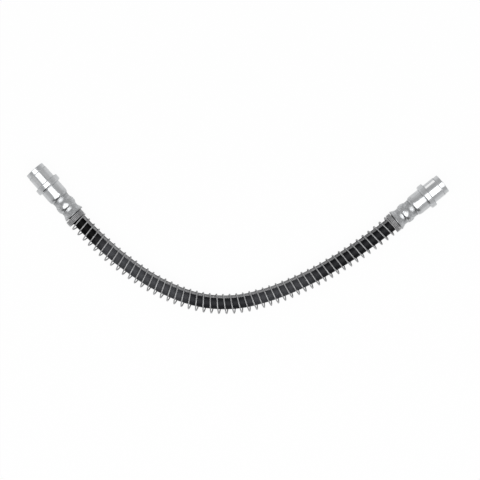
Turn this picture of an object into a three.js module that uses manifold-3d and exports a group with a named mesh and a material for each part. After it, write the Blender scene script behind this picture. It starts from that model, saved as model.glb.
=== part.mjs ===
// Brake hose, laid flat in the shallow U in which it rests.
// A rubber hose runs from one crimped end fitting to the other. A loose coil of steel wire guards it
// against chafing, and a barbed insert holds each end of the hose inside its fitting.
// Millimetres, +Z up. Origin: bottom centre of the fittings and the guard.

import * as THREE from 'three';
import { mergeVertices } from 'three/addons/utils/BufferGeometryUtils.js';
import Module from 'manifold-3d';

const wasm = await Module();
wasm.setup();

// Hose, and the line it follows in the plane of the U, from one cut end to the other.
// The first three and last three points lie straight inside the fittings.
const HOSE_DIAMETER = 10.6;
const HOSE_BORE = 3.2;
const HOSE_STEPS = 50;
const HOSE_SIDES = 10;
const HOSE_ROUTE = [
  [-140.4, 34.4], [-132.7, 26.2], [-124.4, 17.4], [-113.9, 6.7], [-103.0, -3.5], [-91.6, -13.1],
  [-79.5, -21.9], [-66.9, -29.9], [-53.6, -36.7], [-39.7, -42.2], [-25.0, -45.8], [-10.1, -46.9],
  [4.9, -45.6], [19.5, -41.9], [33.6, -36.9], [47.3, -30.7], [60.6, -23.8], [73.4, -16.1],
  [85.9, -8.0], [98.1, 0.7], [109.8, 9.7], [121.4, 19.3], [130.6, 27.0], [139.3, 34.4],
];

// End fitting, lengths along its axis from the tip to the mouth
const TIP_LENGTH = 4.2;
const HEAD_LENGTH = 9.3;
const COLLAR_WIDTH = 4.6;
const SHELL_LENGTH = 7.9;
const FIRST_NECK_RUN = 5.3;
const BULGE_RUN = 5.1;
const SECOND_NECK_RUN = 4.7;
const MOUTH_RUN = 4.4;
const LIP_LENGTH = 0.3;

// End fitting, walls and steps
const TIP_RELIEF = 0.3;
const TIP_RELIEF_RUN = 0.55;
const TIP_CHAMFER = 0.4;
const HEAD_WALL = 3.65;
const FLAT_DEPTH = 0.1;
const FLAT_RUNOUT = 0.4;
const CUTTER_OVERSIZE = 1.0;
const COLLAR_HEIGHT = 2.0;
const COLLAR_FRONT_EDGE = 0.5;
const COLLAR_REAR_RUN = 0.9;
const COLLAR_REAR_DROP = 0.5;
const GROOVE_WIDTH = 0.6;
const GROOVE_DEPTH = 0.25;
const SHELL_WALL = 2.55;
const FIRST_NECK_WALL = 1.2;
const BULGE_WALL = 2.2;
const SECOND_NECK_WALL = 1.0;
const MOUTH_FLARE = 1.5;
const MOUTH_WALL = 1.15;
const POCKET_CLEARANCE = 0.3;
const FITTING_SIDES = 24;
const HEAD_FLATS = 6;

// Forms of the crimped shell's runs, as [share of the run, share of the change in radius]:
// down over the edge of a jaw, up again between two jaws, and out to the mouth
const JAW_FORM = [[0.22, 0.08], [0.42, 0.24], [0.655, 0.85], [0.92, 0.96]];
const RISE_FORM = [[0.27, 0.08], [0.59, 0.74], [0.82, 0.97]];
const FLARE_FORM = [[0.09, 0.0], [0.61, 0.58], [0.91, 0.94]];

// Threaded socket for the brake pipe's nut, M10 x 1, left smooth at its minor diameter
const THREAD_DIAMETER = 10;
const THREAD_PITCH = 1;
const MINOR_DEPTH_PER_PITCH = 0.54127;
const SOCKET_DEPTH = 14;
const SOCKET_CHAMFER = 0.7;
const SOCKET_FLOOR = 8.1;

// Barbed insert, pressed through the socket's floor into the hose
const SHANK_DIAMETER = 3.5;
const INSERT_HEAD_RIM = 0.85;
const INSERT_HEAD_THICKNESS = 1.2;
const INSERT_CLEARANCE = 0.25;
const INSERT_WALL = 0.6;
const BARB_COUNT = 4;
const BARB_SPACING = 4;
const BARB_LENGTH = 1.6;
const BARB_DEPTH = 0.15;
const STEM_TAIL = 2.5;
const INSERT_SIDES = 12;

// Wire guard: a right-handed coil, close-wound at both ends
const WIRE_DIAMETER = 1.0;
const GUARD_SLACK = 1.5;
const GUARD_CLEARANCE = 0.3;
const GUARD_RIGHT_CENTRING = 1.1;
const GUARD_TURNS = 57.55;
const LEFT_CLOSED_TURNS = 3.82;
const RIGHT_CLOSED_TURNS = 3.1;
const CLOSED_PITCH = 1.05;
const PITCH_RAMP_TURNS = 0.5;
const GUARD_CROWDING = 0.9;
const GUARD_BUNCHING = 0.65;
const GUARD_START_CLOCK = THREE.MathUtils.degToRad(-18);
const STEPS_PER_TURN = 12;
const WIRE_SIDES = 5;

// Turn of each fitting about its own axis, from a flat that faces up
const LEFT_CLOCK = THREE.MathUtils.degToRad(-28);
const RIGHT_CLOCK = THREE.MathUtils.degToRad(47);

const MATERIALS = {
  rubber: { color: 0x202225, roughness: 0.6, metalness: 0.0 },
  plating: { color: 0xb9bcbf, roughness: 0.3, metalness: 0.9 },
  wire: { color: 0x96989b, roughness: 0.35, metalness: 0.9 },
  insert: { color: 0xa9a9a6, roughness: 0.35, metalness: 0.9 },
};

// Sizes that follow from the ones above
const hoseRadius = HOSE_DIAMETER / 2;
const boreRadius = HOSE_BORE / 2;
const pocketRadius = hoseRadius + POCKET_CLEARANCE;
const minorRadius = THREAD_DIAMETER / 2 - MINOR_DEPTH_PER_PITCH * THREAD_PITCH;
const headRadius = minorRadius + HEAD_WALL;
const tipRadius = headRadius - TIP_RELIEF;
const collarRadius = headRadius + COLLAR_HEIGHT;
const shellRadius = pocketRadius + SHELL_WALL;
const shankRadius = SHANK_DIAMETER / 2;
const stemRadius = boreRadius - INSERT_CLEARANCE;
const flowRadius = stemRadius - INSERT_WALL;
const collarStart = TIP_LENGTH + HEAD_LENGTH;
const collarEnd = collarStart + COLLAR_WIDTH;
const shellEnd = collarEnd + SHELL_LENGTH;
const firstNeckAt = shellEnd + FIRST_NECK_RUN;
const bulgeAt = firstNeckAt + BULGE_RUN;
const secondNeckAt = bulgeAt + SECOND_NECK_RUN;
const lipAt = secondNeckAt + MOUTH_RUN;
const fittingLength = lipAt + LIP_LENGTH;
const pocketFloor = SOCKET_DEPTH + SOCKET_FLOOR;
const hoseEndAt = pocketFloor + POCKET_CLEARANCE;
const wireRadius = WIRE_DIAMETER / 2;
const guardMeanRadius = hoseRadius + GUARD_SLACK + wireRadius;
const guardRadius = guardMeanRadius + wireRadius;

// Points of a smooth S between two stations of a profile, the first one left out
function easeRun(fromAt, fromRadius, toAt, toRadius, steps) {
  const points = [];
  for (let i = 1; i <= steps; i += 1) {
    const share = i / steps;
    const radius = THREE.MathUtils.lerp(fromRadius, toRadius, (1 - Math.cos(Math.PI * share)) / 2);
    points.push([radius, THREE.MathUtils.lerp(fromAt, toAt, share)]);
  }
  return points;
}

// Points of a run of the given form between two stations of a profile, the first one left out
function formedRun(form, fromAt, fromRadius, toAt, toRadius) {
  return [...form, [1, 1]].map(([along, change]) => [
    THREE.MathUtils.lerp(fromRadius, toRadius, change),
    THREE.MathUtils.lerp(fromAt, toAt, along),
  ]);
}

// Points of a rounded corner about its centre, angles from the radial direction towards the mouth
function roundCorner(radius, at, size, fromAngle, toAngle, steps = 2) {
  const points = [];
  for (let i = 0; i <= steps; i += 1) {
    const angle = THREE.MathUtils.lerp(fromAngle, toAngle, i / steps);
    points.push([radius + size * Math.cos(angle), at + size * Math.sin(angle)]);
  }
  return points;
}

function headAndCollarProfile() {
  const front = roundCorner(
    collarRadius - COLLAR_FRONT_EDGE, collarStart + COLLAR_FRONT_EDGE, COLLAR_FRONT_EDGE, -Math.PI / 2, 0);
  return [
    [minorRadius + SOCKET_CHAMFER, 0],
    [tipRadius - TIP_CHAMFER, 0],
    [tipRadius, TIP_CHAMFER],
    [tipRadius, TIP_LENGTH - TIP_RELIEF_RUN],
    [headRadius, TIP_LENGTH],
    [headRadius, collarStart],
    ...front,
    [collarRadius, collarEnd - COLLAR_REAR_RUN],
    [collarRadius - COLLAR_REAR_DROP, collarEnd],
  ];
}

function crimpedShellProfile() {
  const firstNeck = pocketRadius + FIRST_NECK_WALL;
  const bulge = pocketRadius + BULGE_WALL;
  const secondNeck = pocketRadius + SECOND_NECK_WALL;
  const mouth = pocketRadius + MOUTH_FLARE + MOUTH_WALL;
  return [
    [shellRadius - GROOVE_DEPTH, collarEnd],
    [shellRadius - GROOVE_DEPTH, collarEnd + GROOVE_WIDTH / 2],
    [shellRadius, collarEnd + GROOVE_WIDTH],
    [shellRadius, shellEnd],
    ...formedRun(JAW_FORM, shellEnd, shellRadius, firstNeckAt, firstNeck),
    ...formedRun(RISE_FORM, firstNeckAt, firstNeck, bulgeAt, bulge),
    ...formedRun(JAW_FORM, bulgeAt, bulge, secondNeckAt, secondNeck),
    ...formedRun(FLARE_FORM, secondNeckAt, secondNeck, lipAt, mouth),
    [mouth, fittingLength],
  ];
}

function innerProfile() {
  const floorHole = shankRadius + INSERT_CLEARANCE;
  const counterbore = shankRadius + INSERT_HEAD_RIM + INSERT_CLEARANCE;
  const counterboreEnd = SOCKET_DEPTH + INSERT_HEAD_THICKNESS + INSERT_CLEARANCE;
  return [
    [pocketRadius + MOUTH_FLARE, fittingLength],
    ...easeRun(fittingLength, pocketRadius + MOUTH_FLARE, secondNeckAt, pocketRadius, 3),
    [pocketRadius, pocketFloor],
    [floorHole, pocketFloor],
    [floorHole, counterboreEnd],
    [counterbore, counterboreEnd],
    [counterbore, SOCKET_DEPTH],
    [minorRadius, SOCKET_DEPTH],
    [minorRadius, SOCKET_CHAMFER],
  ];
}

// A closed profile of [radius, station] pairs turned about the Y axis
function turned(profile, sides) {
  const outline = [...profile, profile[0]].map(([radius, at]) => new THREE.Vector2(radius, at));
  return new THREE.LatheGeometry(outline, sides);
}

function toSolid(geometry) {
  const bare = geometry.clone();
  bare.deleteAttribute('normal');
  bare.deleteAttribute('uv');
  const merged = mergeVertices(bare);
  const mesh = new wasm.Mesh({
    numProp: 3,
    vertProperties: new Float32Array(merged.attributes.position.array),
    triVerts: new Uint32Array(merged.index.array),
  });
  return new wasm.Manifold(mesh);
}

function toGeometry(solid) {
  const mesh = solid.getMesh();
  const geometry = new THREE.BufferGeometry();
  geometry.setAttribute('position', new THREE.BufferAttribute(mesh.vertProperties, 3));
  geometry.setIndex(new THREE.BufferAttribute(mesh.triVerts, 1));
  geometry.computeVertexNormals();
  return geometry;
}

// The ring of metal that is milled off round the head to leave its narrow flats
function flatsCutter(clock) {
  const corner = (headRadius - FLAT_DEPTH) / Math.cos(Math.PI / HEAD_FLATS);
  const ring = new THREE.Shape();
  ring.absarc(0, 0, corner + CUTTER_OVERSIZE, 0, 2 * Math.PI);
  const hexagon = new THREE.Path();
  for (let i = 0; i < HEAD_FLATS; i += 1) {
    const angle = (2 * Math.PI * (i + 0.5)) / HEAD_FLATS - Math.PI / 2 + clock;
    const point = [corner * Math.cos(angle), corner * Math.sin(angle)];
    if (i === 0) {
      hexagon.moveTo(...point);
    } else {
      hexagon.lineTo(...point);
    }
  }
  hexagon.closePath();
  ring.holes.push(hexagon);
  const depth = HEAD_LENGTH - FLAT_RUNOUT;
  const cutter = new THREE.ExtrudeGeometry(ring, { depth, bevelEnabled: false, curveSegments: 10 });
  cutter.rotateX(-Math.PI / 2);
  cutter.translate(0, TIP_LENGTH, 0);
  return cutter;
}

function fittingGeometry(clock) {
  const profile = [...headAndCollarProfile(), ...crimpedShellProfile(), ...innerProfile()];
  const body = toSolid(turned(profile, FITTING_SIDES));
  return toGeometry(body.subtract(toSolid(flatsCutter(clock))));
}

function insertGeometry() {
  const headRadiusOfInsert = shankRadius + INSERT_HEAD_RIM;
  const root = stemRadius - BARB_DEPTH;
  const outer = [
    [flowRadius, SOCKET_DEPTH],
    [headRadiusOfInsert, SOCKET_DEPTH],
    [headRadiusOfInsert, SOCKET_DEPTH + INSERT_HEAD_THICKNESS],
    [shankRadius, SOCKET_DEPTH + INSERT_HEAD_THICKNESS],
    [shankRadius, pocketFloor],
    [root, pocketFloor],
  ];
  for (let i = 0; i < BARB_COUNT; i += 1) {
    const barbAt = pocketFloor + BARB_SPACING * (i + 1);
    outer.push([root, barbAt]);
    outer.push([stemRadius, barbAt]);
    outer.push([root, barbAt + BARB_LENGTH]);
  }
  const stemEnd = pocketFloor + BARB_SPACING * BARB_COUNT + BARB_LENGTH + STEM_TAIL;
  outer.push([root, stemEnd]);
  outer.push([flowRadius, stemEnd]);
  return turned(outer, INSERT_SIDES);
}

const route = new THREE.CatmullRomCurve3(HOSE_ROUTE.map(([x, y]) => new THREE.Vector3(x, y, 0)));
route.arcLengthDivisions = 4000;
const routeLength = route.getLength();

function hoseGeometry() {
  const section = new THREE.Shape();
  section.absarc(0, 0, hoseRadius, 0, 2 * Math.PI);
  const bore = new THREE.Path();
  bore.absarc(0, 0, boreRadius, 0, 2 * Math.PI);
  section.holes.push(bore);
  return new THREE.ExtrudeGeometry(section, {
    steps: HOSE_STEPS,
    curveSegments: HOSE_SIDES / 2,
    bevelEnabled: false,
    extrudePath: route,
  });
}

// Centreline of the guard's wire, sampled evenly by turns
class GuardWinding extends THREE.Curve {
  constructor() {
    super();
    const reach = fittingLength - hoseEndAt;
    this.start = reach + GUARD_CLEARANCE + wireRadius;
    this.length = routeLength - 2 * this.start;
    const openShare = this.openTurns(GUARD_TURNS);
    this.extraPitch = (this.length - CLOSED_PITCH * GUARD_TURNS) / openShare;
  }

  // Turns wound at the open pitch once the given turn is reached, the ramps counting half
  openTurns(turn) {
    const rampedFrom = (first) => {
      const past = turn - first;
      if (past <= 0) {
        return 0;
      }
      if (past < PITCH_RAMP_TURNS) {
        return (past * past) / (2 * PITCH_RAMP_TURNS);
      }
      return past - PITCH_RAMP_TURNS / 2;
    };
    const last = GUARD_TURNS - RIGHT_CLOSED_TURNS - PITCH_RAMP_TURNS;
    return rampedFrom(LEFT_CLOSED_TURNS) - rampedFrom(last);
  }

  getUtoTmapping(share) {
    return share;
  }

  getPoint(share, target = new THREE.Vector3()) {
    const turn = share * GUARD_TURNS;
    const wound = CLOSED_PITCH * turn + this.extraPitch * this.openTurns(turn);
    const along = wound / this.length;
    const bunching = GUARD_BUNCHING * Math.sin(2 * Math.PI * along);
    const crowding = GUARD_CROWDING * Math.sin(Math.PI * along) ** 2;
    const reached = this.start + wound + bunching - crowding;
    const station = THREE.MathUtils.clamp(reached / routeLength, 0, 1);
    const centre = route.getPointAt(station);
    const forward = route.getTangentAt(station);
    const inward = new THREE.Vector3(-forward.y, forward.x, 0);
    const lean = GUARD_SLACK - GUARD_CLEARANCE - GUARD_RIGHT_CENTRING * along ** 12;
    const clock = GUARD_START_CLOCK + 2 * Math.PI * turn;
    target.copy(centre);
    target.addScaledVector(inward, guardMeanRadius * Math.cos(clock) - lean);
    target.z += guardMeanRadius * Math.sin(clock);
    return target;
  }
}

function guardGeometry() {
  const section = new THREE.Shape();
  section.absarc(0, 0, wireRadius, 0, 2 * Math.PI);
  return new THREE.ExtrudeGeometry(section, {
    steps: Math.round(GUARD_TURNS * STEPS_PER_TURN),
    curveSegments: WIRE_SIDES / 2,
    bevelEnabled: false,
    extrudePath: new GuardWinding(),
  });
}

function named(name, geometry, finish) {
  const mesh = new THREE.Mesh(geometry, new THREE.MeshStandardMaterial(MATERIALS[finish]));
  mesh.name = name;
  return mesh;
}

// Frame of one end: its origin is the fitting's tip, +Y runs into the hose and +Z is up
function endFrame(hoseEnd, forward) {
  const frame = new THREE.Group();
  const up = new THREE.Vector3(0, 0, 1);
  const across = new THREE.Vector3().crossVectors(forward, up);
  frame.quaternion.setFromRotationMatrix(new THREE.Matrix4().makeBasis(across, forward, up));
  frame.position.copy(hoseEnd).addScaledVector(forward, -hoseEndAt);
  return frame;
}

function straightInto(from, to) {
  return to.clone().sub(from).normalize();
}

const leftForward = straightInto(route.points[0], route.points[2]);
const rightForward = straightInto(route.points.at(-1), route.points.at(-3));
const leftEnd = endFrame(route.points[0], leftForward);
const rightEnd = endFrame(route.points.at(-1), rightForward);
leftEnd.add(named('left_fitting', fittingGeometry(LEFT_CLOCK), 'plating'));
leftEnd.add(named('left_insert', insertGeometry(), 'insert'));
rightEnd.add(named('right_fitting', fittingGeometry(RIGHT_CLOCK), 'plating'));
rightEnd.add(named('right_insert', insertGeometry(), 'insert'));

const assembly = new THREE.Group();
assembly.add(named('hose', hoseGeometry(), 'rubber'));
assembly.add(named('spring_guard', guardGeometry(), 'wire'));
assembly.add(leftEnd, rightEnd);

// At rest both collars and the guard's lowest turn touch the ground, so the U leans a little
const collarMiddle = (collarStart + collarEnd) / 2;
const leftCollarY = leftEnd.position.y + leftForward.y * collarMiddle;
const rightCollarY = rightEnd.position.y + rightForward.y * collarMiddle;
const collarY = (leftCollarY + rightCollarY) / 2;
const lowestRouteY = Math.min(...route.points.map((point) => point.y));
const guardY = lowestRouteY - GUARD_SLACK + GUARD_CLEARANCE;
const lean = Math.asin((collarRadius - guardRadius) / (collarY - guardY));
assembly.rotation.x = lean;
assembly.position.z = collarRadius - collarY * Math.sin(lean);

const part = new THREE.Group();
part.add(assembly);

export default part;
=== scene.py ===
import math

import bmesh
import bpy
from mathutils import Matrix, Vector


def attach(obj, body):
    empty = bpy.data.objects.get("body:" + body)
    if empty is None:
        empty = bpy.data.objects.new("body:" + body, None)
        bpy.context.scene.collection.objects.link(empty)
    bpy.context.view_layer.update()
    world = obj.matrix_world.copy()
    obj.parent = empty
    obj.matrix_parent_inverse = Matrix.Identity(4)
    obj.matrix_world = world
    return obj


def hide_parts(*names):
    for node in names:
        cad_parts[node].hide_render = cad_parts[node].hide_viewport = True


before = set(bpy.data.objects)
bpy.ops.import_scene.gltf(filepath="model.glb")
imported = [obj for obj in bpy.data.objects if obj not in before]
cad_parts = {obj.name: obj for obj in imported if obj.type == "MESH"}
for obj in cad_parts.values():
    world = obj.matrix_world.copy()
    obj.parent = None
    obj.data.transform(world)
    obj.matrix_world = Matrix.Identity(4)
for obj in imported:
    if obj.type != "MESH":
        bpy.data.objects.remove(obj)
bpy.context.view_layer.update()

# Brake hose laid flat in a shallow U: a rubber hose, two crimped end fittings with their inserts, and a
# wire guard. Metres. The hose lies in a plane, the plane of the U, that leans a little about the X axis.

# Hose and its line in the plane of the U, from cut end to cut end
HOSE_DIAMETER = 0.0106
HOSE_BORE = 0.0032
HOSE_ROUTE = [
    (-0.1404, 0.0344), (-0.1327, 0.0262), (-0.1244, 0.0174), (-0.1139, 0.0067), (-0.1030, -0.0035),
    (-0.0916, -0.0131), (-0.0795, -0.0219), (-0.0669, -0.0299), (-0.0536, -0.0367), (-0.0397, -0.0422),
    (-0.0250, -0.0458), (-0.0101, -0.0469), (0.0049, -0.0456), (0.0195, -0.0419), (0.0336, -0.0369),
    (0.0473, -0.0307), (0.0606, -0.0238), (0.0734, -0.0161), (0.0859, -0.0080), (0.0981, 0.0007),
    (0.1098, 0.0097), (0.1214, 0.0193), (0.1306, 0.0270), (0.1393, 0.0344),
]
ROUTE_STEPS_PER_SPAN = 60
HOSE_RINGS = 260
HOSE_SIDES = 48

# End fitting, stations along its axis from the tip to the mouth
TIP_LENGTH = 0.0042
HEAD_LENGTH = 0.0093
COLLAR_WIDTH = 0.0046
SHELL_LENGTH = 0.0079
FIRST_NECK_RUN = 0.0053
BULGE_RUN = 0.0051
SECOND_NECK_RUN = 0.0047
MOUTH_RUN = 0.0044
LIP_LENGTH = 0.0003

# End fitting, walls and steps
TIP_RELIEF = 0.00030
TIP_RELIEF_RUN = 0.00055
TIP_CHAMFER = 0.0004
HEAD_WALL = 0.00365
FLAT_DEPTH = 0.0001
FLAT_RUNOUT = 0.0004
COLLAR_HEIGHT = 0.0020
COLLAR_FRONT_EDGE = 0.0005
COLLAR_REAR_RUN = 0.0009
COLLAR_REAR_DROP = 0.0005
GROOVE_WIDTH = 0.0006
GROOVE_DEPTH = 0.00025
SHELL_WALL = 0.00255
FIRST_NECK_WALL = 0.0012
BULGE_WALL = 0.0022
SECOND_NECK_WALL = 0.0010
MOUTH_FLARE = 0.0015
MOUTH_WALL = 0.00115
POCKET_CLEARANCE = 0.0003
TURNED_STEPS = 120
PROFILE_STEPS_PER_SPAN = 4
ROUNDING = 1e-6

# Head's flats: how many, and the painted shine, a reflection painted into the colour, of the upper one of
# each fitting and of the others
HEAD_FLATS = 6
LEFT_FLAT_PAINTED_SHINE = 0.2
RIGHT_FLAT_PAINTED_SHINE = 1.0
OTHER_FLAT_PAINTED_SHINE = 0.2

# Forms of the crimped shell's runs, as (share of the run, share of the change in radius):
# down over the edge of a jaw, up again between two jaws, and out to the mouth
JAW_FORM = [(0.22, 0.08), (0.42, 0.24), (0.655, 0.85), (0.92, 0.96)]
RISE_FORM = [(0.27, 0.08), (0.59, 0.74), (0.82, 0.97)]
FLARE_FORM = [(0.09, 0.0), (0.61, 0.58), (0.91, 0.94)]

# Threaded socket, M10 x 1
THREAD_DIAMETER = 0.010
THREAD_PITCH = 0.001
MINOR_DEPTH_PER_PITCH = 0.54127
SOCKET_DEPTH = 0.014
SOCKET_CHAMFER = 0.0007
SOCKET_FLOOR = 0.0081
THREAD_RUNOUT = 0.0025
THREAD_POINTS_PER_PITCH = 8

# Barbed insert
SHANK_DIAMETER = 0.0035
INSERT_HEAD_RIM = 0.00085
INSERT_HEAD_THICKNESS = 0.0012
INSERT_CLEARANCE = 0.00025
INSERT_WALL = 0.0006
BARB_COUNT = 4
BARB_SPACING = 0.004
BARB_LENGTH = 0.0016
BARB_DEPTH = 0.00015
STEM_TAIL = 0.0025

# Wire guard: a right-handed coil, close-wound at both ends
WIRE_DIAMETER = 0.0010
GUARD_SLACK = 0.0015
GUARD_CLEARANCE = 0.0003
GUARD_RIGHT_CENTRING = 0.0011
GUARD_TURNS = 57.55
LEFT_CLOSED_TURNS = 3.82
RIGHT_CLOSED_TURNS = 3.1
CLOSED_PITCH = 0.00105
PITCH_RAMP_TURNS = 0.5
GUARD_CROWDING = 0.0009
GUARD_BUNCHING = 0.00065
GUARD_START_CLOCK = math.radians(-18)
WIRE_STEPS_PER_TURN = 40
WIRE_SIDES = 12

# Turn of each fitting's first flat about the fitting's own axis, from straight up
LEFT_CLOCK = math.radians(-28)
RIGHT_CLOCK = math.radians(47)

# Sizes that follow from the ones above
hose_radius = HOSE_DIAMETER / 2
bore_radius = HOSE_BORE / 2
pocket_radius = hose_radius + POCKET_CLEARANCE
minor_radius = THREAD_DIAMETER / 2 - MINOR_DEPTH_PER_PITCH * THREAD_PITCH
head_radius = minor_radius + HEAD_WALL
tip_radius = head_radius - TIP_RELIEF
collar_radius = head_radius + COLLAR_HEIGHT
shell_radius = pocket_radius + SHELL_WALL
shank_radius = SHANK_DIAMETER / 2
stem_radius = bore_radius - INSERT_CLEARANCE
flow_radius = stem_radius - INSERT_WALL
collar_start = TIP_LENGTH + HEAD_LENGTH
collar_end = collar_start + COLLAR_WIDTH
shell_end = collar_end + SHELL_LENGTH
first_neck_at = shell_end + FIRST_NECK_RUN
bulge_at = first_neck_at + BULGE_RUN
second_neck_at = bulge_at + SECOND_NECK_RUN
lip_at = second_neck_at + MOUTH_RUN
fitting_length = lip_at + LIP_LENGTH
pocket_floor = SOCKET_DEPTH + SOCKET_FLOOR
hose_end_at = pocket_floor + POCKET_CLEARANCE
wire_radius = WIRE_DIAMETER / 2
guard_mean_radius = hose_radius + GUARD_SLACK + wire_radius
guard_radius = guard_mean_radius + wire_radius


# Route

def through_points(points, steps):
    """A dense line on the centripetal Catmull-Rom curve through the points."""
    knots = [Vector(p).to_3d() for p in points]
    knots = [2 * knots[0] - knots[1], *knots, 2 * knots[-1] - knots[-2]]
    line = []
    for a, b, c, d in zip(knots, knots[1:], knots[2:], knots[3:]):
        t1 = (b - a).length ** 0.5
        t2 = t1 + (c - b).length ** 0.5
        t3 = t2 + (d - c).length ** 0.5
        for i in range(steps):
            t = t1 + (t2 - t1) * i / steps
            ab = a.lerp(b, t / t1)
            bc = b.lerp(c, (t - t1) / (t2 - t1))
            cd = c.lerp(d, (t - t2) / (t3 - t2))
            abc = ab.lerp(bc, t / t2)
            bcd = bc.lerp(cd, (t - t1) / (t3 - t1))
            line.append(abc.lerp(bcd, (t - t1) / (t2 - t1)))
    line.append(knots[-2])
    return line


class Route:
    """The hose's line in the plane of the U, read by distance from its left cut end."""

    def __init__(self, points):
        self.line = through_points(points, ROUTE_STEPS_PER_SPAN)
        self.reached = [0.0]
        for a, b in zip(self.line, self.line[1:]):
            self.reached.append(self.reached[-1] + (b - a).length)
        self.length = self.reached[-1]

    def at(self, distance):
        distance = min(max(distance, 0.0), self.length)
        low, high = 0, len(self.line) - 2
        while low < high:
            middle = (low + high + 1) // 2
            if self.reached[middle] <= distance:
                low = middle
            else:
                high = middle - 1
        span = self.line[low + 1] - self.line[low]
        share = (distance - self.reached[low]) / span.length
        return self.line[low] + span * share, span.normalized()


route = Route(HOSE_ROUTE)
mouth_reach = fitting_length - hose_end_at


def straight_into(start, inner):
    return (Vector(inner).to_3d() - Vector(start).to_3d()).normalized()


left_forward = straight_into(HOSE_ROUTE[0], HOSE_ROUTE[2])
right_forward = straight_into(HOSE_ROUTE[-1], HOSE_ROUTE[-3])


def tip_of(hose_end, forward):
    return Vector(hose_end).to_3d() - forward * hose_end_at


left_tip = tip_of(HOSE_ROUTE[0], left_forward)
right_tip = tip_of(HOSE_ROUTE[-1], right_forward)


def plane_of_the_u():
    """At rest both collars and the guard's lowest turn touch the ground, so the plane leans."""
    collar_middle = (collar_start + collar_end) / 2
    left_collar = left_tip + left_forward * collar_middle
    right_collar = right_tip + right_forward * collar_middle
    collar_y = (left_collar.y + right_collar.y) / 2
    lowest_y = min(y for _, y in HOSE_ROUTE)
    guard_y = lowest_y - GUARD_SLACK + GUARD_CLEARANCE
    lean = math.asin((collar_radius - guard_radius) / (collar_y - guard_y))
    height = collar_radius - collar_y * math.sin(lean)
    return Matrix.Translation((0, 0, height)) @ Matrix.Rotation(lean, 4, "X")


to_frame = plane_of_the_u()


def end_matrix(tip, forward):
    """Frame of a fitting: its origin is the tip, +Y runs into the hose and +Z is up."""
    up = Vector((0, 0, 1))
    across = forward.cross(up)
    turn = Matrix((across, forward, up)).transposed().to_4x4()
    return to_frame @ Matrix.Translation(tip) @ turn


# Camera: straight above, as far away as the photograph's perspective says.
PICTURE_WIDTH = 0.3672
CAMERA_DISTANCE = 1.72
CAMERA_SENSOR = 0.036
CAMERA_OVER = (0.0028, 0.0012)
CAMERA_ROLL = math.radians(1.591)


def make_camera():
    data = bpy.data.cameras.new("camera")
    data.sensor_width = CAMERA_SENSOR * 1000
    data.lens = CAMERA_SENSOR * 1000 * CAMERA_DISTANCE / PICTURE_WIDTH
    data.clip_end = 20
    camera = bpy.data.objects.new("camera", data)
    camera.location = (*CAMERA_OVER, CAMERA_DISTANCE + guard_radius)
    camera.rotation_euler = (0, 0, CAMERA_ROLL)
    bpy.context.scene.collection.objects.link(camera)
    bpy.context.scene.camera = camera


make_camera()


# Making pieces

def add_object(name, mesh):
    piece = bpy.data.objects.new(name, mesh)
    bpy.context.scene.collection.objects.link(piece)
    return piece


def mesh_of(name, bm):
    mesh = bpy.data.meshes.new(name)
    bm.to_mesh(mesh)
    bm.free()
    return mesh


def swept_tube(name, points, radius, sides, twist):
    """A round tube along the points, open at both ends, with its U along the line and its V round it."""
    curve = bpy.data.curves.new(name + "_line", "CURVE")
    curve.dimensions = "3D"
    curve.twist_mode = twist
    curve.bevel_depth = radius
    curve.bevel_resolution = (sides - 4) // 2
    spline = curve.splines.new("POLY")
    spline.points.add(len(points) - 1)
    for knot, point in zip(spline.points, points):
        knot.co = (*point, 1)
    drawn = add_object(name + "_line", curve)
    seen = bpy.context.evaluated_depsgraph_get()
    mesh = bpy.data.meshes.new_from_object(drawn.evaluated_get(seen))
    bpy.data.objects.remove(drawn)
    bpy.data.curves.remove(curve)
    mesh.name = name
    return mesh


def smooth_with_edges(mesh, angle):
    mesh.shade_smooth()
    mesh.set_sharp_from_angle(angle=angle)


def with_straight_light(piece):
    """Lets large faces set the shading where they meet small ones, so a turned wall reflects straight."""
    weights = piece.modifiers.new("face_weights", "WEIGHTED_NORMAL")
    weights.keep_sharp = True
    return piece


# Hose

def hose_points():
    steps = HOSE_RINGS - 1
    return [to_frame @ route.at(route.length * i / steps)[0] for i in range(HOSE_RINGS)]


def make_hose():
    mesh = swept_tube("hose_tube", hose_points(), hose_radius, HOSE_SIDES, "Z_UP")
    hose = add_object("hose_tube", mesh)
    wall = hose.modifiers.new("wall", "SOLIDIFY")
    wall.thickness = hose_radius - bore_radius
    wall.offset = -1
    wall.use_rim = True
    smooth_with_edges(mesh, math.radians(40))
    return hose


# Wire guard

def ramped_turns(past):
    """Turns past the start of a ramp, the ramp itself counting half."""
    if past <= 0:
        return 0.0
    if past < PITCH_RAMP_TURNS:
        return past * past / (2 * PITCH_RAMP_TURNS)
    return past - PITCH_RAMP_TURNS / 2


def open_turns(turn):
    """Turns wound at the open pitch once the given turn is reached."""
    last = GUARD_TURNS - RIGHT_CLOSED_TURNS - PITCH_RAMP_TURNS
    return ramped_turns(turn - LEFT_CLOSED_TURNS) - ramped_turns(turn - last)


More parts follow.
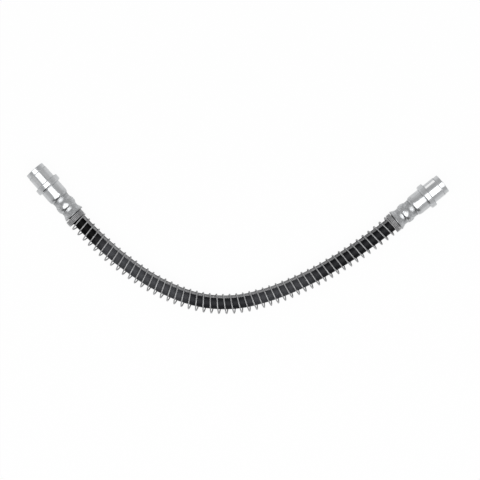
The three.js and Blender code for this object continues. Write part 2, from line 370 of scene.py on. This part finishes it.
def guard_points():
    start = mouth_reach + GUARD_CLEARANCE + wire_radius
    length = route.length - 2 * start
    extra_pitch = (length - CLOSED_PITCH * GUARD_TURNS) / open_turns(GUARD_TURNS)
    steps = round(GUARD_TURNS * WIRE_STEPS_PER_TURN)
    points = []
    for i in range(steps + 1):
        turn = GUARD_TURNS * i / steps
        wound = CLOSED_PITCH * turn + extra_pitch * open_turns(turn)
        along = wound / length
        bunching = GUARD_BUNCHING * math.sin(2 * math.pi * along)
        crowding = GUARD_CROWDING * math.sin(math.pi * along) ** 2
        centre, forward = route.at(start + wound + bunching - crowding)
        inward = Vector((-forward.y, forward.x, 0))
        lean = GUARD_SLACK - GUARD_CLEARANCE - GUARD_RIGHT_CENTRING * along ** 12
        clock = GUARD_START_CLOCK + 2 * math.pi * turn
        point = centre + inward * (guard_mean_radius * math.cos(clock) - lean)
        point.z += guard_mean_radius * math.sin(clock)
        points.append(to_frame @ point)
    return points


def make_guard():
    mesh = swept_tube("guard_coil", guard_points(), wire_radius, WIRE_SIDES, "MINIMUM")
    bm = bmesh.new()
    bm.from_mesh(mesh)
    bmesh.ops.holes_fill(bm, edges=bm.edges, sides=0)
    bm.to_mesh(mesh)
    bm.free()
    smooth_with_edges(mesh, math.radians(50))
    return add_object("guard_coil", mesh)


# Turned pieces

def ease_run(from_at, from_radius, to_at, to_radius, steps=16):
    """Points of a smooth S between two stations of a profile, the first one left out."""
    points = []
    for i in range(1, steps + 1):
        share = i / steps
        swing = (1 - math.cos(math.pi * share)) / 2
        points.append((from_radius + (to_radius - from_radius) * swing, from_at + (to_at - from_at) * share))
    return points


def round_corner(radius, at, size, from_angle, to_angle, steps=5):
    """Points of a rounded corner about its centre, angles from the radial direction towards the mouth."""
    points = []
    for i in range(steps + 1):
        angle = from_angle + (to_angle - from_angle) * i / steps
        points.append((radius + size * math.cos(angle), at + size * math.sin(angle)))
    return points


def head_and_collar_profile():
    edge = COLLAR_FRONT_EDGE
    return [
        (minor_radius + SOCKET_CHAMFER, 0),
        *round_corner(tip_radius - TIP_CHAMFER, TIP_CHAMFER, TIP_CHAMFER, -math.pi / 2, 0),
        (tip_radius, TIP_LENGTH - TIP_RELIEF_RUN),
        (head_radius, TIP_LENGTH),
        (head_radius, collar_start - FLAT_RUNOUT),
        (head_radius, collar_start),
        *round_corner(collar_radius - edge, collar_start + edge, edge, -math.pi / 2, 0),
        (collar_radius, collar_end - COLLAR_REAR_RUN),
        (collar_radius - COLLAR_REAR_DROP, collar_end),
    ]


def formed_run(form, from_at, from_radius, to_at, to_radius):
    """Points of a run of the given form between two stations of a profile, the first one left out."""
    points = []
    for along, change in [*form, (1, 1)]:
        points.append((from_radius + (to_radius - from_radius) * change, from_at + (to_at - from_at) * along))
    return points


def crimped_shell_profile():
    first_neck = pocket_radius + FIRST_NECK_WALL
    bulge = pocket_radius + BULGE_WALL
    second_neck = pocket_radius + SECOND_NECK_WALL
    mouth = pocket_radius + MOUTH_FLARE + MOUTH_WALL
    line = through_points([
        (shell_radius, collar_end + GROOVE_WIDTH),
        (shell_radius, shell_end),
        *formed_run(JAW_FORM, shell_end, shell_radius, first_neck_at, first_neck),
        *formed_run(RISE_FORM, first_neck_at, first_neck, bulge_at, bulge),
        *formed_run(JAW_FORM, bulge_at, bulge, second_neck_at, second_neck),
        *formed_run(FLARE_FORM, second_neck_at, second_neck, lip_at, mouth),
    ], PROFILE_STEPS_PER_SPAN)
    return [
        (shell_radius - GROOVE_DEPTH, collar_end),
        (shell_radius - GROOVE_DEPTH, collar_end + GROOVE_WIDTH / 2),
        *((point.x, point.y) for point in line),
        (mouth, fitting_length),
    ]


def socket_profile():
    """The socket's wall from its floor out to its mouth, at the thread's minor diameter."""
    points_along = round((SOCKET_DEPTH - SOCKET_CHAMFER) / THREAD_PITCH * THREAD_POINTS_PER_PITCH)
    wall = []
    for i in range(points_along + 1):
        share = i / points_along
        wall.append((minor_radius, SOCKET_DEPTH + (SOCKET_CHAMFER - SOCKET_DEPTH) * share))
    return wall


def inner_profile():
    floor_hole = shank_radius + INSERT_CLEARANCE
    counterbore = shank_radius + INSERT_HEAD_RIM + INSERT_CLEARANCE
    counterbore_end = SOCKET_DEPTH + INSERT_HEAD_THICKNESS + INSERT_CLEARANCE
    return [
        (pocket_radius + MOUTH_FLARE, fitting_length),
        *ease_run(fitting_length, pocket_radius + MOUTH_FLARE, second_neck_at, pocket_radius, 8),
        (pocket_radius, pocket_floor),
        (floor_hole, pocket_floor),
        (floor_hole, counterbore_end),
        (counterbore, counterbore_end),
        (counterbore, SOCKET_DEPTH),
        *socket_profile(),
    ]


def turned(profile, steps):
    """A closed profile of (radius, station) pairs spun about the Y axis."""
    bm = bmesh.new()
    corners = [bm.verts.new((radius, at, 0)) for radius, at in profile]
    edges = [bm.edges.new(pair) for pair in zip(corners, corners[1:] + corners[:1])]
    bmesh.ops.spin(
        bm, geom=corners + edges, cent=(0, 0, 0), axis=(0, 1, 0), dvec=(0, 0, 0), angle=2 * math.pi,
        steps=steps, use_merge=True, use_duplicate=False)
    bmesh.ops.recalc_face_normals(bm, faces=bm.faces)
    return bm


def clock_of(point):
    return math.atan2(point.x, point.z)


def cut_thread(bm):
    """Moves the socket's wall out along a helix, deepest between two crests, fading near the floor."""
    depth = MINOR_DEPTH_PER_PITCH * THREAD_PITCH
    for vert in bm.verts:
        radius = math.hypot(vert.co.x, vert.co.z)
        inside = SOCKET_CHAMFER <= vert.co.y < SOCKET_DEPTH - THREAD_RUNOUT
        if not inside or radius > minor_radius + depth / 4:
            continue
        phase = (vert.co.y / THREAD_PITCH + clock_of(vert.co) / (2 * math.pi)) % 1.0
        cut = depth * min(1.0, 1.25 * (1 - abs(2 * phase - 1)))
        vert.co.x *= (radius + cut) / radius
        vert.co.z *= (radius + cut) / radius


def mill_flats(bm, clock, painted_shine):
    """Presses narrow flats into the head's round and marks their faces with a painted shine, a reflection
    painted into the colour. The one at the clock gets the painted shine given.
    """
    apothem = head_radius - FLAT_DEPTH
    flat_to = collar_start - FLAT_RUNOUT
    flat_painted_shine = bm.faces.layers.float.new("flat_painted_shine")
    pressed = {}
    for vert in bm.verts:
        radius = math.hypot(vert.co.x, vert.co.z)
        if radius < tip_radius or not TIP_LENGTH - ROUNDING < vert.co.y < flat_to + ROUNDING:
            continue
        pitch = 2 * math.pi / HEAD_FLATS
        off = (clock_of(vert.co) - clock + pitch / 2) % pitch - pitch / 2
        reach = radius * math.cos(off)
        if reach > apothem:
            vert.co.x *= apothem / reach
            vert.co.z *= apothem / reach
            pressed[vert] = painted_shine if abs(clock_of(vert.co) - clock) < pitch / 2 else OTHER_FLAT_PAINTED_SHINE
    for face in bm.faces:
        if all(vert in pressed for vert in face.verts):
            face[flat_painted_shine] = min(pressed[vert] for vert in face.verts)


def name_turning(bm):
    """UV map of a turned piece: U once round it, V in metres from its tip."""
    layer = bm.loops.layers.uv.new("turning")
    for face in bm.faces:
        clocks = [clock_of(loop.vert.co) / (2 * math.pi) for loop in face.loops]
        wraps = max(clocks) - min(clocks) > 0.5
        for loop, clock in zip(face.loops, clocks):
            if wraps and clock < 0:
                clock += 1
            loop[layer].uv = (clock, loop.vert.co.y)


def make_fitting(name, matrix, clock, painted_shine):
    profile = head_and_collar_profile() + crimped_shell_profile() + inner_profile()
    bm = turned(profile, TURNED_STEPS)
    cut_thread(bm)
    mill_flats(bm, clock, painted_shine)
    name_turning(bm)
    bm.transform(matrix)
    mesh = mesh_of(name, bm)
    smooth_with_edges(mesh, math.radians(28))
    return with_straight_light(add_object(name, mesh))


def insert_profile():
    head = shank_radius + INSERT_HEAD_RIM
    root = stem_radius - BARB_DEPTH
    profile = [
        (flow_radius, SOCKET_DEPTH),
        (head, SOCKET_DEPTH),
        (head, SOCKET_DEPTH + INSERT_HEAD_THICKNESS),
        (shank_radius, SOCKET_DEPTH + INSERT_HEAD_THICKNESS),
        (shank_radius, pocket_floor),
        (root, pocket_floor),
    ]
    for i in range(BARB_COUNT):
        barb_at = pocket_floor + BARB_SPACING * (i + 1)
        profile += [(root, barb_at), (stem_radius, barb_at), (root, barb_at + BARB_LENGTH)]
    stem_end = pocket_floor + BARB_SPACING * BARB_COUNT + BARB_LENGTH + STEM_TAIL
    return profile + [(root, stem_end), (flow_radius, stem_end)]


def make_insert(name, matrix):
    bm = turned(insert_profile(), 48)
    name_turning(bm)
    bm.transform(matrix)
    mesh = mesh_of(name, bm)
    smooth_with_edges(mesh, math.radians(28))
    return with_straight_light(add_object(name, mesh))


left_end = end_matrix(left_tip, left_forward)
right_end = end_matrix(right_tip, right_forward)
hose = make_hose()
guard = make_guard()
left_fitting = make_fitting("left_end_fitting", left_end, LEFT_CLOCK, LEFT_FLAT_PAINTED_SHINE)
right_fitting = make_fitting("right_end_fitting", right_end, RIGHT_CLOCK, RIGHT_FLAT_PAINTED_SHINE)
left_insert = make_insert("left_barbed_insert", left_end)
right_insert = make_insert("right_barbed_insert", right_end)


# Finishes

def new_finish(name, base, metallic, roughness):
    material = bpy.data.materials.new(name)
    material.use_nodes = True
    tree = material.node_tree
    shader = next(node for node in tree.nodes if node.type == "BSDF_PRINCIPLED")
    shader.inputs["Base Color"].default_value = (*base, 1)
    shader.inputs["Metallic"].default_value = metallic
    shader.inputs["Roughness"].default_value = roughness
    return material, tree, shader


def add_node(tree, kind, values=None, **settings):
    """A node with its settings, and with its sockets set to values or linked to other nodes' outputs."""
    node = tree.nodes.new("ShaderNode" + kind)
    for name, value in settings.items():
        setattr(node, name, value)
    for socket, value in (values or {}).items():
        if isinstance(value, bpy.types.NodeSocket):
            tree.links.new(value, node.inputs[socket])
        else:
            node.inputs[socket].default_value = value
    return node


def arithmetic(tree, operation, first, second=0.0):
    return add_node(tree, "Math", {0: first, 1: second}, operation=operation).outputs["Value"]


def new_effect(name, sockets):
    """A shader node group with the given (name, direction, socket type) sockets."""
    group = bpy.data.node_groups.new(name, "ShaderNodeTree")
    for socket, direction, kind in sockets:
        group.interface.new_socket(socket, in_out=direction, socket_type="NodeSocket" + kind)
    return group, group.nodes.new("NodeGroupInput"), group.nodes.new("NodeGroupOutput")


def machining_marks():
    """Fine grooves round a turned piece: its station in, a height and a change of roughness out."""
    group, given, result = new_effect("machining_marks", [
        ("Station", "INPUT", "Float"), ("Round", "INPUT", "Float"), ("Spacing", "INPUT", "Float"),
        ("Height", "OUTPUT", "Float"), ("Roughening", "OUTPUT", "Float")])
    across = arithmetic(group, "DIVIDE", given.outputs["Station"], given.outputs["Spacing"])
    place = add_node(group, "CombineXYZ", {"X": across, "Y": given.outputs["Round"]})
    fine = add_node(group, "TexNoise", {"Vector": place.outputs["Vector"], "Scale": 1.0, "Detail": 3.0})
    broad = add_node(group, "TexNoise", {"Vector": place.outputs["Vector"], "Scale": 0.11, "Detail": 2.0})
    group.links.new(fine.outputs["Fac"], result.inputs["Height"])
    group.links.new(broad.outputs["Fac"], result.inputs["Roughening"])
    return group


def grain():
    """Small even specks on a surface of any form, by its place in the piece."""
    group, given, result = new_effect("grain", [
        ("Size", "INPUT", "Float"), ("Detail", "INPUT", "Float"), ("Specks", "OUTPUT", "Float")])
    place = add_node(group, "TexCoord")
    scale = arithmetic(group, "DIVIDE", 1.0, given.outputs["Size"])
    noise = add_node(group, "TexNoise", {
        "Vector": place.outputs["Object"], "Scale": scale, "Detail": given.outputs["Detail"],
        "Roughness": 0.6})
    group.links.new(noise.outputs["Fac"], result.inputs["Specks"])
    return group


marks_effect = machining_marks()
grain_effect = grain()


def add_effect(tree, group, values):
    return add_node(tree, "Group", values, node_tree=group)


def between(tree, value, low, high, out_low=0.0, out_high=1.0):
    """The value taken smoothly from one range to another, held at both ends."""
    return add_node(tree, "MapRange", {
        "Value": value, "From Min": low, "From Max": high, "To Min": out_low, "To Max": out_high},
        interpolation_type="SMOOTHSTEP").outputs["Result"]


def near(tree, value, place, reach):
    """One where the value is close to the place, and nothing from the reach on."""
    off = arithmetic(tree, "ABSOLUTE", arithmetic(tree, "SUBTRACT", value, place))
    return between(tree, off, reach / 2, reach, 1.0, 0.0)


def scaled(tree, value, factor):
    """The value times a plain number."""
    return arithmetic(tree, "MULTIPLY", value, factor)


def opaque(colour):
    """A colour as a socket takes it: another socket as it is, or three numbers with full alpha."""
    return colour if isinstance(colour, bpy.types.NodeSocket) else (*colour, 1)


def mixed(tree, share, first, second, blend="MIX"):
    """The first colour turned into the second, or added to it, by the share."""
    return add_node(
        tree, "Mix", {"Factor": share, "A": opaque(first), "B": opaque(second)}, data_type="RGBA",
        blend_type=blend).outputs["Result"]


def uv_parts(tree, name):
    """The two numbers of a UV map: round it and station on a turned piece, along and round on a swept one."""
    uv = add_node(tree, "UVMap", uv_map=name)
    split = add_node(tree, "SeparateXYZ", {"Vector": uv.outputs["UV"]})
    return split.outputs["X"], split.outputs["Y"]


def add_bump(tree, shader, height, strength, distance):
    bump = add_node(tree, "Bump", {"Height": height, "Strength": strength, "Distance": distance})
    tree.links.new(bump.outputs["Normal"], shader.inputs["Normal"])


# Zinc plating of the fittings: its colours, painted shade lines at the head's corners, the flats' painted
# shine, and what the jaws left: bruises, with painted shade at the necks and at the first jaw's edge
ZINC = (0.55, 0.56, 0.57)
PAINTED_SHINE_ZINC = (1.0, 1.0, 1.0)
BRUISED_AND_PAINTED_SHADE_ZINC = (0.20, 0.205, 0.21)
PLATING_ROUGHNESS = 0.19
CORNER_LINE = 0.0005
CORNER_PAINTED_SHADE = 0.25
CORNER_ROUGHENING = 0.40
SPOT_SHADE = 0.6
LIP_SHADE = 0.7
JAW_EDGE_AT = shell_end + 0.0039
JAW_EDGE_LINE = 0.0007
JAW_EDGE_PAINTED_SHADE = 0.7
NECK_LINE = 0.0018
NECK_PAINTED_SHADE = 0.4
NECK_ROUGHENING = 0.09
BRUISE_ROUGHENING = 0.25
CLOUD_SIZE = 0.004
CLOUD_SHADE = 0.12
SPOT_SIZE = 0.0009
MARK_SPACING = 0.00012
MARK_ROUGHENING = 0.06
DENTS_TO_MARKS = 8.0
PLATING_RELIEF = 0.00001


def jaw_bruises_and_painted_shade(tree, station, specks, pressed, necks):
    """How much the plating darkens, from nothing to one: bruises where the jaws pressed, a darker lip at the
    mouth, and painted shade along the necks and at the first jaw's edge, where the steep walls reflect dark.
    """
    spots = between(tree, specks, 0.40, 0.60)
    bruises_and_painted_shade = scaled(tree, arithmetic(tree, "MULTIPLY", spots, pressed), SPOT_SHADE)
    darker_lip = between(tree, station, lip_at - 0.0004, lip_at, 0.0, LIP_SHADE)
    # Painted shade at the first jaw's edge and along the necks, darkening the colour where the crimp's steep
    # walls reflect dark.
    jaw_edge_painted_shade = scaled(tree, near(tree, station, JAW_EDGE_AT, JAW_EDGE_LINE), JAW_EDGE_PAINTED_SHADE)
    for mark in (darker_lip, scaled(tree, necks, NECK_PAINTED_SHADE), jaw_edge_painted_shade):
        bruises_and_painted_shade = arithmetic(tree, "MAXIMUM", bruises_and_painted_shade, mark)
    return bruises_and_painted_shade


def plated_steel():
    """Satin zinc, with fine turning marks, bruised where the jaws pressed the shell, with painted shade at
    the head's corners, the necks and the first jaw's edge, and a painted shine on the head's flats.
    """
    material, tree, shader = new_finish("satin_zinc_plating", ZINC, 1.0, PLATING_ROUGHNESS)
    around, station = uv_parts(tree, "turning")
    marks = add_effect(tree, marks_effect, {"Station": station, "Round": around, "Spacing": MARK_SPACING})
    clouds = add_effect(tree, grain_effect, {"Size": CLOUD_SIZE, "Detail": 2.0}).outputs["Specks"]
    specks = add_effect(tree, grain_effect, {"Size": SPOT_SIZE, "Detail": 3.0}).outputs["Specks"]
    pressed = between(tree, station, shell_end - 0.002, shell_end + 0.003)
    necks = arithmetic(
        tree, "MAXIMUM", near(tree, station, first_neck_at, NECK_LINE),
        near(tree, station, second_neck_at, NECK_LINE))
    # Painted shade lines at the tip's step and at the collar's corner, darkening the colour there.
    corners = arithmetic(
        tree, "MAXIMUM", near(tree, station, TIP_LENGTH - TIP_RELIEF_RUN / 2, CORNER_LINE),
        near(tree, station, collar_start, CORNER_LINE))
    bruises_and_painted_shade = jaw_bruises_and_painted_shade(tree, station, specks, pressed, necks)
    darkening = arithmetic(tree, "MAXIMUM", bruises_and_painted_shade, between(tree, clouds, 0.35, 0.65, 0.0, CLOUD_SHADE))
    darkening = arithmetic(tree, "MAXIMUM", darkening, scaled(tree, corners, CORNER_PAINTED_SHADE))
    # The head's flats are mixed towards white by their painted shine, a reflection painted into the colour.
    flat_painted_shine = add_node(tree, "Attribute", attribute_name="flat_painted_shine").outputs["Fac"]
    colour = mixed(tree, flat_painted_shine, mixed(tree, darkening, ZINC, BRUISED_AND_PAINTED_SHADE_ZINC), PAINTED_SHINE_ZINC)
    tree.links.new(colour, shader.inputs["Base Color"])
    roughness = arithmetic(
        tree, "ADD", scaled(tree, marks.outputs["Roughening"], MARK_ROUGHENING),
        PLATING_ROUGHNESS - MARK_ROUGHENING / 2)
    for marked, roughening in (
        (bruises_and_painted_shade, BRUISE_ROUGHENING), (corners, CORNER_ROUGHENING), (necks, NECK_ROUGHENING),
    ):
        roughness = arithmetic(tree, "ADD", roughness, scaled(tree, marked, roughening))
    tree.links.new(roughness, shader.inputs["Roughness"])
    dents = scaled(tree, arithmetic(tree, "MULTIPLY", specks, pressed), DENTS_TO_MARKS)
    add_bump(tree, shader, arithmetic(tree, "ADD", marks.outputs["Height"], dents), 0.5, PLATING_RELIEF)
    return material


# Steel of the inserts
INSERT_STEEL = (0.42, 0.41, 0.40)
INSERT_MARK_SPACING = 0.0002
INSERT_ROUGHNESS = (0.22, 0.36)
INSERT_RELIEF = 0.00002


def turned_steel():
    """Bare steel of the inserts, with coarser turning marks."""
    material, tree, shader = new_finish("turned_steel", INSERT_STEEL, 1.0, INSERT_ROUGHNESS[0])
    around, station = uv_parts(tree, "turning")
    marks = add_effect(tree, marks_effect, {
        "Station": station, "Round": around, "Spacing": INSERT_MARK_SPACING})
    roughness = between(tree, marks.outputs["Roughening"], 0.3, 0.7, *INSERT_ROUGHNESS)
    tree.links.new(roughness, shader.inputs["Roughness"])
    add_bump(tree, shader, marks.outputs["Height"], 0.4, INSERT_RELIEF)
    return material


# Wire of the guard
CLEAN_WIRE = (0.365, 0.37, 0.375)
DULL_WIRE = (0.295, 0.295, 0.30)
WIRE_METAL = 0.35
WIRE_ROUGHNESS = (0.30, 0.42)
WIRE_PATCH_SIZE = 0.006
WIRE_SPECK_SIZE = 0.0004
WIRE_RELIEF = 0.00002


def drawn_wire():
    """Drawn spring steel: fine specks, with duller patches where turns have rubbed."""
    material, tree, shader = new_finish("drawn_wire", CLEAN_WIRE, WIRE_METAL, WIRE_ROUGHNESS[0])
    patches = add_effect(tree, grain_effect, {"Size": WIRE_PATCH_SIZE, "Detail": 3.0}).outputs["Specks"]
    specks = add_effect(tree, grain_effect, {"Size": WIRE_SPECK_SIZE, "Detail": 2.0}).outputs["Specks"]
    colour = mixed(tree, between(tree, patches, 0.35, 0.65), CLEAN_WIRE, DULL_WIRE)
    tree.links.new(colour, shader.inputs["Base Color"])
    tree.links.new(between(tree, patches, 0.3, 0.7, *WIRE_ROUGHNESS), shader.inputs["Roughness"])
    add_bump(tree, shader, specks, 0.3, WIRE_RELIEF)
    return material


# Rubber of the hose, and its darker and paler stretches and its wear along it, in metres from the left mouth
BLACK_RUBBER = (0.0125, 0.0130, 0.0150)
PALER_RUBBER = (0.0525, 0.0535, 0.0585)
DARKEST_RUBBER = (0.0004, 0.0004, 0.0005)
DARKEST_UP_TO = 0.0205
DARKEST_FADES_OVER = 0.0190
FIRST_PALE_STRETCH_ENDS = 0.108
SECOND_PALE_STRETCH = (0.157, 0.208)
SECOND_PALE_SHARE = 0.75
STRETCH_EDGE = 0.020
FAR_STRETCH = 0.222
FAR_DARKENING = 0.52
WEAR_SIZE = 0.003
RUBBER_GLOSS = 0.04
RUBBER_ROUGHNESS = (0.48, 0.62)
WRAP_THREAD = 0.0007
WRAP_RELIEF = 0.00004

# Painted sheen along the top of the hose, a soft highlight added into the colour: its middle, and the share
# of a turn over which it fades
TOP_PAINTED_SHEEN = (0.0175, 0.0178, 0.0190)
TOP_SHEEN_CLOCK = math.radians(-8)
TOP_SHEEN_HALF = 0.11

# Identification stripe
STRIPE_CLOCK = math.radians(55)
STRIPE_WIDTH = 0.0029
STRIPE_GREY = (0.33, 0.33, 0.335)
FAR_STRIPE_FADING = 0.30


def off_clock(tree, around, clock):
    """Share of a turn between a point on the hose and a line along it at the clock."""
    first_side = math.pi / 2 - 2 * math.pi / HOSE_SIDES
    line = (first_side - clock) / (2 * math.pi)
    return arithmetic(tree, "PINGPONG", arithmetic(tree, "ADD", around, 1.0 - line), 0.5)


def rising_at(tree, distance, place):
    """Nothing before the place along the hose and one past it, over the width of a stretch's edge."""
    return between(tree, distance, place - STRETCH_EDGE / 2, place + STRETCH_EDGE / 2)


def cover_along_hose(tree, from_mouth, around, far, specks):
    """Colour of the cover: darkest next to the left fitting, then paler and darker stretches, with a painted
    sheen along the top.
    """
    first_pale = arithmetic(tree, "SUBTRACT", 1.0, rising_at(tree, from_mouth, FIRST_PALE_STRETCH_ENDS))
    starts, ends = SECOND_PALE_STRETCH
    second_pale = arithmetic(
        tree, "SUBTRACT", rising_at(tree, from_mouth, starts), rising_at(tree, from_mouth, ends))
    paleness = arithmetic(tree, "MAXIMUM", first_pale, scaled(tree, second_pale, SECOND_PALE_SHARE))
    paleness = arithmetic(tree, "MULTIPLY", paleness, between(tree, specks, 0.3, 0.7, 0.8, 1.2))
    past_darkest = between(tree, from_mouth, DARKEST_UP_TO, DARKEST_UP_TO + DARKEST_FADES_OVER)
    greying = arithmetic(tree, "SUBTRACT", past_darkest, scaled(tree, far, FAR_DARKENING))
    cover = mixed(tree, greying, DARKEST_RUBBER, mixed(tree, paleness, BLACK_RUBBER, PALER_RUBBER))
    # Painted sheen: a soft highlight added into the colour along the top, weaker on the darkest stretch.
    top_sheen = between(tree, off_clock(tree, around, TOP_SHEEN_CLOCK), TOP_SHEEN_HALF, 0.0)
    top_sheen = arithmetic(tree, "MULTIPLY", top_sheen, between(tree, past_darkest, 0.0, 1.0, 0.3, 1.0))
    return mixed(tree, top_sheen, cover, TOP_PAINTED_SHEEN, "ADD")


def printed_line(tree, around, far, specks):
    """How much of the grey line's print is left at a point, from nothing to one."""
    half = STRIPE_WIDTH / 2 / (math.pi * HOSE_DIAMETER)
    on_line = between(tree, off_clock(tree, around, STRIPE_CLOCK), half * 1.15, half * 0.85)
    printed = arithmetic(tree, "MULTIPLY", on_line, between(tree, specks, 0.3, 0.5, 0.7, 1.0))
    left_past_far_stretch = arithmetic(tree, "SUBTRACT", 1.0, scaled(tree, far, FAR_STRIPE_FADING))
    return arithmetic(tree, "MULTIPLY", printed, left_past_far_stretch)


def cloth_print(tree, along, around):
    """Height of the weave that the cloth wrap left."""
    threads_along = 2 * math.pi * route.length / WRAP_THREAD
    threads_round = round(math.pi * HOSE_DIAMETER / WRAP_THREAD) * 2 * math.pi
    warp = arithmetic(tree, "SINE", scaled(tree, along, threads_along))
    weft = arithmetic(tree, "SINE", scaled(tree, around, threads_round))
    return arithmetic(tree, "MULTIPLY", warp, weft)


def wrapped_rubber():
    """Black rubber that was cured in a cloth wrap, which left its weave, with a printed grey line."""
    material, tree, shader = new_finish("wrapped_rubber", BLACK_RUBBER, 0.0, RUBBER_ROUGHNESS[0])
    shader.inputs["Specular IOR Level"].default_value = RUBBER_GLOSS
    along, around = uv_parts(tree, "UVMap")
    specks = add_effect(tree, grain_effect, {"Size": WEAR_SIZE, "Detail": 3.0}).outputs["Specks"]
    from_mouth = arithmetic(tree, "SUBTRACT", scaled(tree, along, route.length), mouth_reach)
    far = rising_at(tree, from_mouth, FAR_STRETCH)
    cover = cover_along_hose(tree, from_mouth, around, far, specks)
    colour = mixed(tree, printed_line(tree, around, far, specks), cover, STRIPE_GREY)
    tree.links.new(colour, shader.inputs["Base Color"])
    tree.links.new(between(tree, specks, 0.3, 0.7, *RUBBER_ROUGHNESS), shader.inputs["Roughness"])
    add_bump(tree, shader, cloth_print(tree, along, around), 0.5, WRAP_RELIEF)
    return material


plating = plated_steel()
insert_finish = turned_steel()
for piece, finish in (
    (hose, wrapped_rubber()),
    (guard, drawn_wire()),
    (left_fitting, plating),
    (right_fitting, plating),
    (left_insert, insert_finish),
    (right_insert, insert_finish),
):
    piece.data.materials.append(finish)


# Riding and standing for the solids

for piece, node, slot in (
    (hose, "hose", "rubber"),
    (guard, "spring_guard", "guard_wire"),
    (left_fitting, "left_fitting", "plated_steel"),
    (right_fitting, "right_fitting", "plated_steel"),
    (left_insert, "left_insert", "insert_steel"),
    (right_insert, "right_insert", "insert_steel"),
):
    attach(piece, "root")
    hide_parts(node)


# Stage

FLOOR_SIZE = 6.0
FLOOR_GREY = (0.9, 0.9, 0.9, 1)
SHADOW_SHARE = 0.04
SOFTBOX_SIZE = 1.5
SOFTBOX_PLACE = (0.0, -0.31, 1.26)
SOFTBOX_POWER = 16.0
WORLD_FILL = 0.32
HORIZON_LEVEL = 0.80
CEILING_LEVEL = 0.62
FLAG_WIDTH = 1.24
FLAG_HEIGHT = 0.6
FLAG_PLACE = (-0.01, -0.5, 0.3)
FLAG_DARK_HALF = 0.42
FLAG_LEVEL = 0.16
FLAG_EDGE_LEVEL = 0.8


def bare_material(name):
    material = bpy.data.materials.new(name)
    material.use_nodes = True
    material.node_tree.nodes.clear()
    return material, material.node_tree


def make_floor():
    """A pale floor that looks white to the camera and in reflections, but for a faint shadow."""
    bm = bmesh.new()
    bmesh.ops.create_grid(bm, x_segments=1, y_segments=1, size=FLOOR_SIZE / 2)
    floor = add_object("floor", mesh_of("floor", bm))
    material, tree = bare_material("white_floor")
    seen = add_node(tree, "LightPath")
    either = arithmetic(tree, "MAXIMUM", seen.outputs["Is Camera Ray"], seen.outputs["Is Glossy Ray"])
    diffuse = add_node(tree, "BsdfDiffuse", {"Color": FLOOR_GREY})
    glow = add_node(tree, "Emission")
    mix = add_node(tree, "MixShader", {
        0: scaled(tree, either, 1 - SHADOW_SHARE), 1: diffuse.outputs["BSDF"], 2: glow.outputs["Emission"]})
    add_node(tree, "OutputMaterial", {"Surface": mix.outputs["Shader"]})
    floor.data.materials.append(material)


def make_softbox():
    light = bpy.data.lights.new("softbox", "AREA")
    light.shape = "SQUARE"
    light.size = SOFTBOX_SIZE
    light.energy = SOFTBOX_POWER
    lamp = bpy.data.objects.new("softbox", light)
    lamp.location = SOFTBOX_PLACE
    lamp.rotation_euler = Vector(SOFTBOX_PLACE).to_track_quat("Z", "Y").to_euler()
    lamp.visible_camera = False
    bpy.context.scene.collection.objects.link(lamp)


def make_flag():
    """A dim card on the near side, seen only by reflections, that gives the metal its dark lines."""
    bm = bmesh.new()
    bmesh.ops.create_grid(bm, x_segments=1, y_segments=1, size=0.5)
    bmesh.ops.scale(bm, vec=(FLAG_WIDTH, FLAG_HEIGHT, 1), verts=bm.verts)
    bmesh.ops.rotate(bm, cent=(0, 0, 0), matrix=Matrix.Rotation(-math.pi / 2, 3, "X"), verts=bm.verts)
    bmesh.ops.translate(bm, vec=FLAG_PLACE, verts=bm.verts)
    flag = add_object("flag", mesh_of("flag", bm))
    material, tree = bare_material("flag_cloth")
    place = add_node(tree, "TexCoord")
    split = add_node(tree, "SeparateXYZ", {"Vector": place.outputs["Object"]})
    off_middle = arithmetic(tree, "ABSOLUTE", arithmetic(tree, "SUBTRACT", split.outputs["X"], FLAG_PLACE[0]))
    level = between(tree, off_middle, FLAG_DARK_HALF, FLAG_WIDTH / 2, FLAG_LEVEL, FLAG_EDGE_LEVEL)
    glow = add_node(tree, "Emission", {"Strength": level})
    add_node(tree, "OutputMaterial", {"Surface": glow.outputs["Emission"]})
    flag.data.materials.append(material)
    flag.visible_camera = False
    flag.visible_diffuse = False
    flag.visible_shadow = False


def make_world():
    """White where the camera sees it, and in reflections from the horizon to a slightly darker ceiling."""
    world = bpy.data.worlds.new("studio")
    bpy.context.scene.world = world
    world.use_nodes = True
    tree = world.node_tree
    tree.nodes.clear()
    seen = add_node(tree, "LightPath")
    towards = add_node(tree, "TexCoord")
    split = add_node(tree, "SeparateXYZ", {"Vector": towards.outputs["Generated"]})
    reflected = between(tree, split.outputs["Z"], 0.1, 0.7, HORIZON_LEVEL, CEILING_LEVEL)
    level = add_node(tree, "Mix", {
        "Factor": seen.outputs["Is Glossy Ray"], "A": WORLD_FILL, "B": reflected}).outputs["Result"]
    level = add_node(tree, "Mix", {
        "Factor": seen.outputs["Is Camera Ray"], "A": level, "B": 1.0}).outputs["Result"]
    sky = add_node(tree, "Background", {"Color": (1, 1, 1, 1), "Strength": level})
    add_node(tree, "OutputWorld", {"Surface": sky.outputs["Background"]})


make_floor()
make_softbox()
make_flag()
make_world()
bpy.context.scene.view_settings.view_transform = "Standard"
